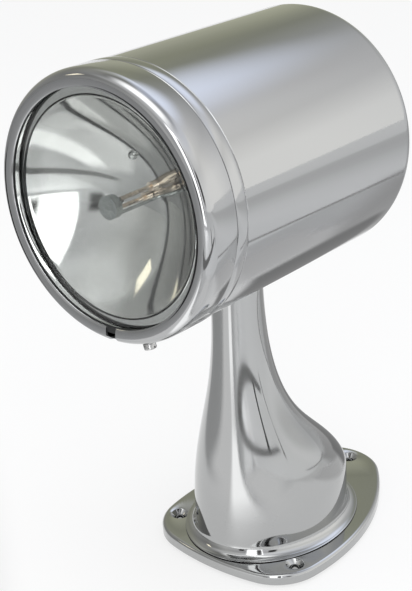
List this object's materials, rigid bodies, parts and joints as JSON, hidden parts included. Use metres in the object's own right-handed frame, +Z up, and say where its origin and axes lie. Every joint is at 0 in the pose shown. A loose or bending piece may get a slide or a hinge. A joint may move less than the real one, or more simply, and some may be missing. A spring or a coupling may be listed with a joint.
{
  "type": "remote-control searchlight",
  "caption": "Chromed marine searchlight: a cylindrical lamp head that pans and tilts by geared motors on a flared pedestal with a rounded-triangle deck flange.",
  "frame": {"origin": "on the pan axis, at the mouth of the cable inlet in the deck face", "axes": "+Z up along the pan axis, the lamp faces -Y, +X to port, tilt axis along X"},
  "size_m": [0.128, 0.2045, 0.288],
  "materials": {
    "chrome_casting": "polished chrome on a casting",
    "chrome_sheet": "polished chrome on drawn sheet",
    "stainless": "turned stainless steel",
    "zinc_plate": "zinc plated sheet steel",
    "motor_case": "plated motor can",
    "bronze": "cut bronze",
    "nylon": "natural nylon",
    "deck_rubber": "black rubber",
    "lamp_rubber": "black rubber",
    "lamp_glass": "clear pressed glass",
    "lamp_mirror": "aluminised glass bowl",
    "lamp_brass": "brass",
    "filament_wire": "tungsten wire",
    "shield_metal": "bright nickel sheet"
  },
  "bodies": {
    "base": {"deck_gasket": "deck_rubber", "base_flange": "chrome_casting", "pedestal": "chrome_casting", "flange_screws": "stainless", "cable_grommet": "deck_rubber", "lower_neck_bush": "bronze", "upper_neck_bush": "bronze", "pan_gear": "bronze", "thrust_washer": "nylon"},
    "turret": {"yoke": "zinc_plate", "pan_spindle": "stainless", "spindle_clip": "stainless", "pan_motor": "motor_case", "tilt_motor": "motor_case", "motor_screws": "stainless", "terminal_block": "nylon", "tilt_pins": "stainless", "pin_clips": "stainless"},
    "pan_drive": {"pan_pinion": "bronze"},
    "tilt_drive": {"tilt_pinion": "bronze"},
    "head": {"shell": "chrome_sheet", "bezel": "chrome_sheet", "bezel_screw": "stainless", "lamp_gasket": "lamp_rubber", "lamp_seat": "zinc_plate", "lens": "lamp_glass", "reflector": "lamp_mirror", "filament_posts": "lamp_brass", "filament": "filament_wire", "glare_shield": "shield_metal", "lamp_terminals": "lamp_brass", "port_bracket": "zinc_plate", "starboard_bracket": "zinc_plate", "tilt_bushes": "nylon", "tilt_sector": "bronze", "sector_screws": "stainless"}
  },
  "joints": [
    {"name": "pan", "type": "hinge", "parent": "base", "child": "turret", "pos_m": [0, 0, 0.176], "axis": [0, 0, 1], "range_deg": [-160, 160]},
    {"name": "pan_pinion_spin", "type": "hinge", "parent": "turret", "child": "pan_drive", "pos_m": [0, 0.02208, 0.1735], "axis": [0, 0, 1], "range_deg": [-430, 430]},
    {"name": "tilt", "type": "hinge", "parent": "turret", "child": "head", "pos_m": [0, 0, 0.224], "axis": [-1, 0, 0], "range_deg": [-20, 20]},
    {"name": "tilt_pinion_spin", "type": "hinge", "parent": "turret", "child": "tilt_drive", "pos_m": [0.036, 0.02693, 0.25093], "axis": [-1, 0, 0], "range_deg": [-108, 108]}
  ],
  "couplings": [
    {"joint": "pan_pinion_spin", "follows": "pan", "ratio": 2.6667},
    {"joint": "tilt_pinion_spin", "follows": "tilt", "ratio": -5.3333}
  ]
}
